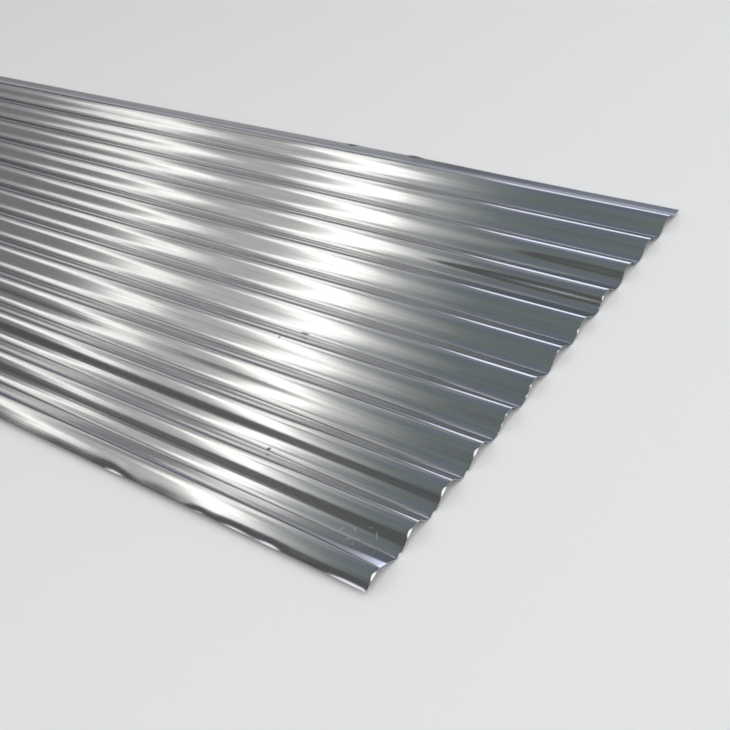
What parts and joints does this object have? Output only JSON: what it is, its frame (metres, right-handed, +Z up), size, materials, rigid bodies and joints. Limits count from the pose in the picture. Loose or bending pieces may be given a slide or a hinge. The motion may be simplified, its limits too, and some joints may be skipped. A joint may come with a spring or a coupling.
{
  "type": "corrugated metal sheet",
  "caption": "Zinc-coated steel roofing sheet rolled into round waves along its length, with plain cut ends and free side edges that lap the next sheet.",
  "frame": {"origin": "middle of the bottom of the sheet's box, level with the undersides of the valleys", "axes": "X along the waves, Y across them from the near free edge to the far one, Z up"},
  "size_m": [2.4, 0.9062, 0.0179],
  "materials": {
    "galvanised_steel": "bright zinc coating, smooth and glossy, with fine roll lines along the waves"
  },
  "bodies": {
    "root": {"corrugated_sheet": "galvanised_steel"}
  },
  "joints": []
}
